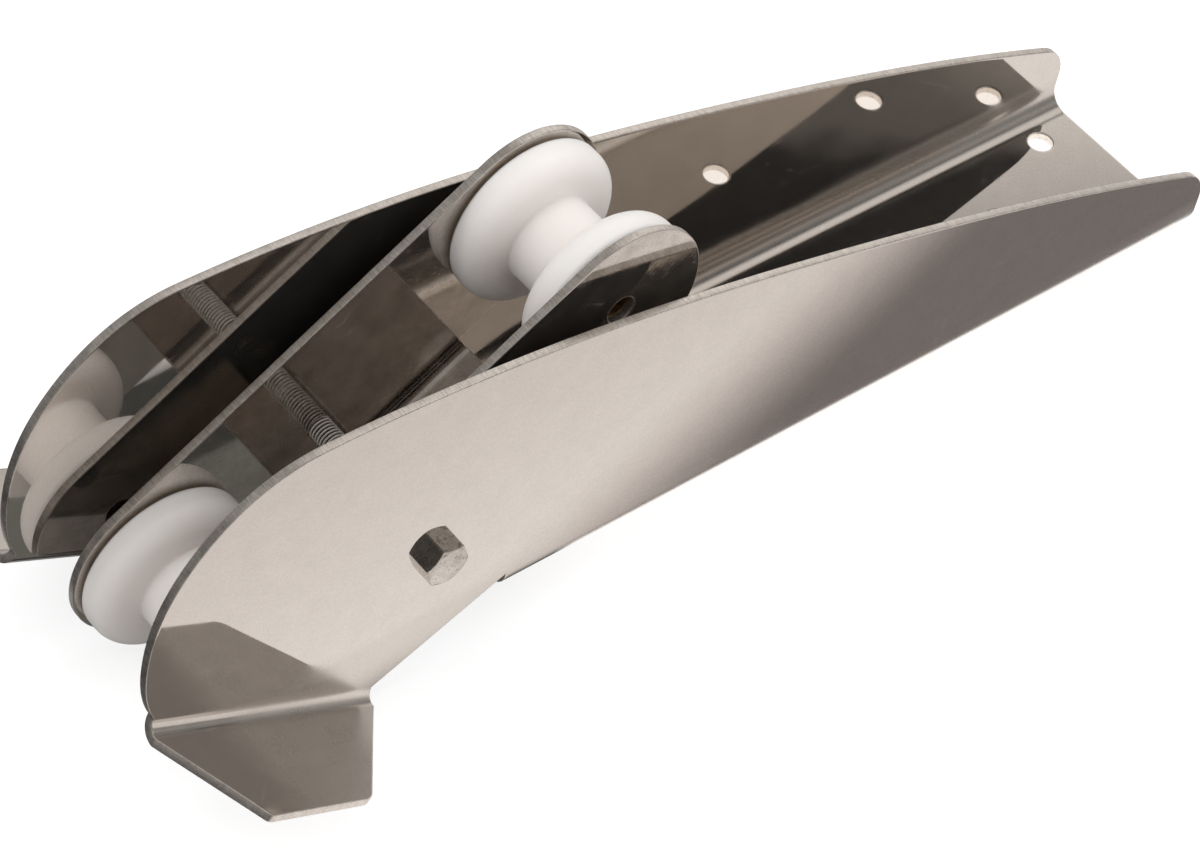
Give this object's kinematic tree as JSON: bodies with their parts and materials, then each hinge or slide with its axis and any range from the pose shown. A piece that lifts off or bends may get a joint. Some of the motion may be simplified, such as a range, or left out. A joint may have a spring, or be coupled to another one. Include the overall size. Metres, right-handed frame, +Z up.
{
  "type": "tilting bow roller",
  "caption": "Tilting bow roller: folded stainless channel with outward wings, pivoting cradle arm on a through bolt and two grooved nylon rollers.",
  "frame": {"origin": "underside of the floor, midway between the two rear deck holes", "axes": "+X ahead over the bow, +Y to port, +Z up"},
  "size_m": [0.5347, 0.1856, 0.1763],
  "materials": {
    "polished_sheet": "mirror-polished inside, fine satin outside",
    "arm_sheet": "polished, edges ground",
    "fastener_steel": "bright machined",
    "axle_steel": "bright drawn, heat tinted inside",
    "roller_nylon": "satin natural nylon",
    "ring_nylon": "natural nylon"
  },
  "bodies": {
    "base": {"base_channel": "polished_sheet", "pivot_bolt": "fastener_steel", "port_inner_nut": "fastener_steel", "starboard_inner_nut": "fastener_steel", "washer": "fastener_steel", "lock_nut": "fastener_steel", "lock_nut_ring": "ring_nylon"},
    "arm": {"tilting_arm": "arm_sheet", "front_axle": "axle_steel", "rear_axle": "axle_steel"},
    "front_wheel": {"front_roller": "roller_nylon"},
    "rear_wheel": {"rear_roller": "roller_nylon"}
  },
  "joints": [
    {"name": "arm_tilt", "type": "hinge", "parent": "base", "child": "arm", "pos_m": [0.3847, 0, 0.047], "axis": [0, 1, 0], "range_deg": [-42, 70]},
    {"name": "front_roller_spin", "type": "hinge", "parent": "arm", "child": "front_wheel", "pos_m": [0.45494, 0, 0.01827], "axis": [0, 1, 0], "continuous": true},
    {"name": "rear_roller_spin", "type": "hinge", "parent": "arm", "child": "rear_wheel", "pos_m": [0.30111, 0, 0.1174], "axis": [0, 1, 0], "continuous": true}
  ]
}
